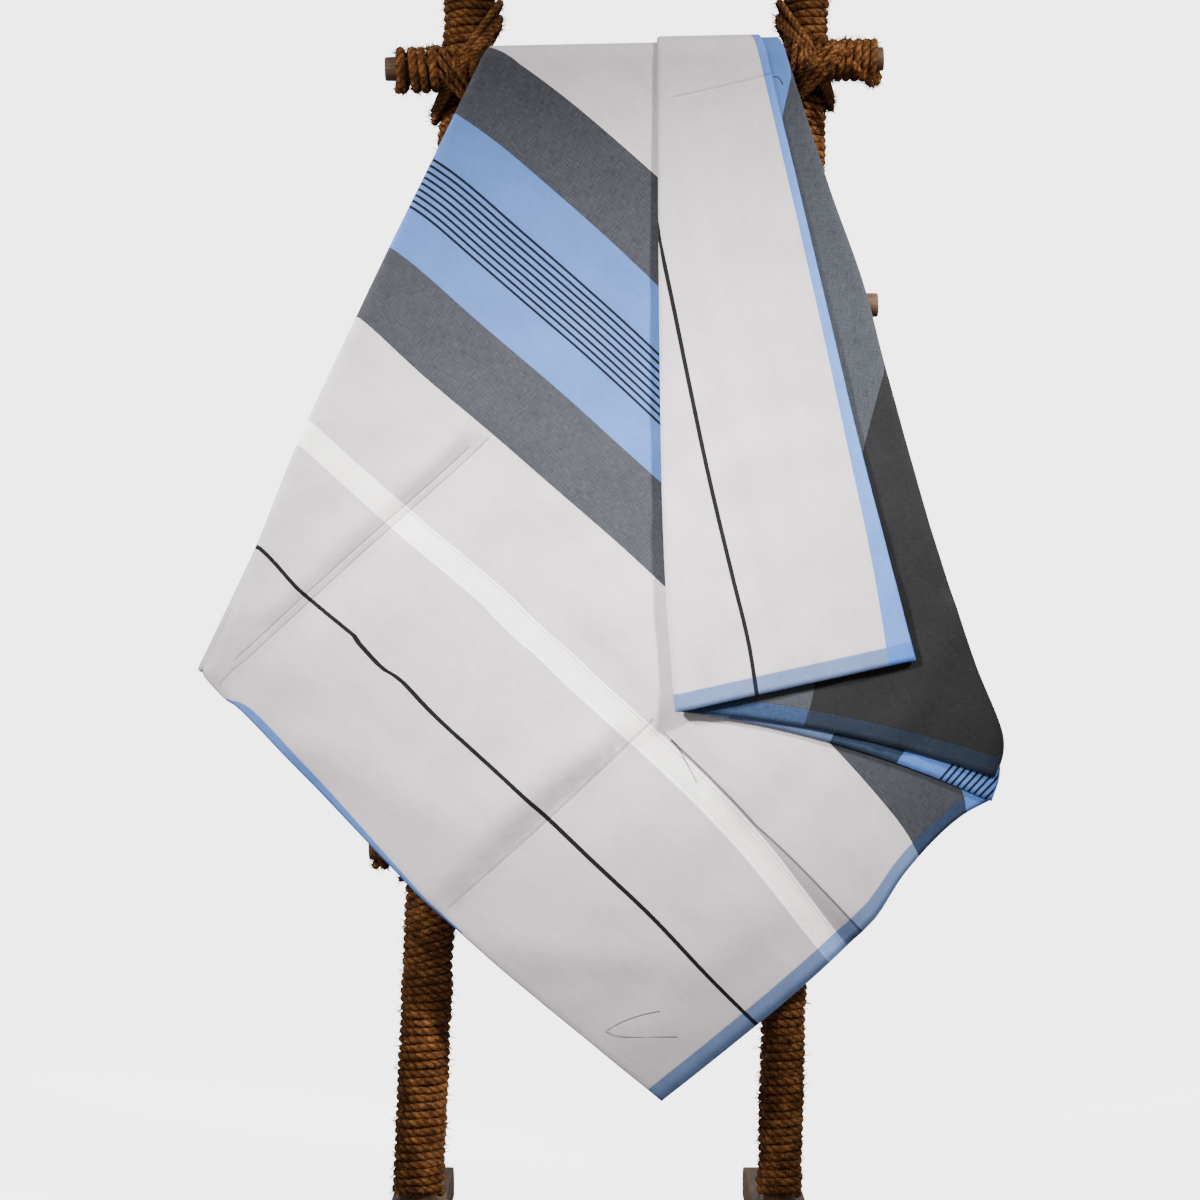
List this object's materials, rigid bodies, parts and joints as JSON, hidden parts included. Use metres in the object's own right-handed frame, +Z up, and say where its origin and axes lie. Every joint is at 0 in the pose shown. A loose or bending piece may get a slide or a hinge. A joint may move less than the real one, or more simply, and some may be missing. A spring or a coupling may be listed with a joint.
{
  "type": "sarong on a rope-lashed rack",
  "caption": "Plaid cotton tube sarong, folded and hung over the top rung of a free-standing wooden rack whose leaning posts are wound with coir rope.",
  "frame": {"origin": "on the floor, under the middle of the whole part's box", "axes": "+Z up, +X to the right as seen from the front, +Y from the front of the cloth through to the back of the rack"},
  "size_m": [0.8058, 0.42, 1.31],
  "materials": {
    "cotton": "plain-woven cotton, matt",
    "coir": "twisted coir rope, coarse and hairy",
    "wood": "bare round wood, weathered"
  },
  "bodies": {
    "root": {"sarong": "cotton", "foot_left": "wood", "foot_right": "wood", "post_left": "wood", "post_right": "wood", "post_rope_left": "coir", "post_rope_right": "coir", "rung_1": "wood", "rung_2": "wood", "rung_3": "wood", "rung_4": "wood", "lashing_1_left": "coir", "lashing_1_right": "coir", "lashing_2_left": "coir", "lashing_2_right": "coir", "lashing_3_left": "coir", "lashing_3_right": "coir", "lashing_4_left": "coir", "lashing_4_right": "coir", "rung_rope_1_left": "coir", "rung_rope_1_right": "coir", "rung_rope_2_left": "coir", "rung_rope_2_right": "coir", "rung_rope_3_left": "coir", "rung_rope_3_right": "coir", "rung_rope_4_left": "coir", "rung_rope_4_right": "coir"}
  },
  "joints": []
}
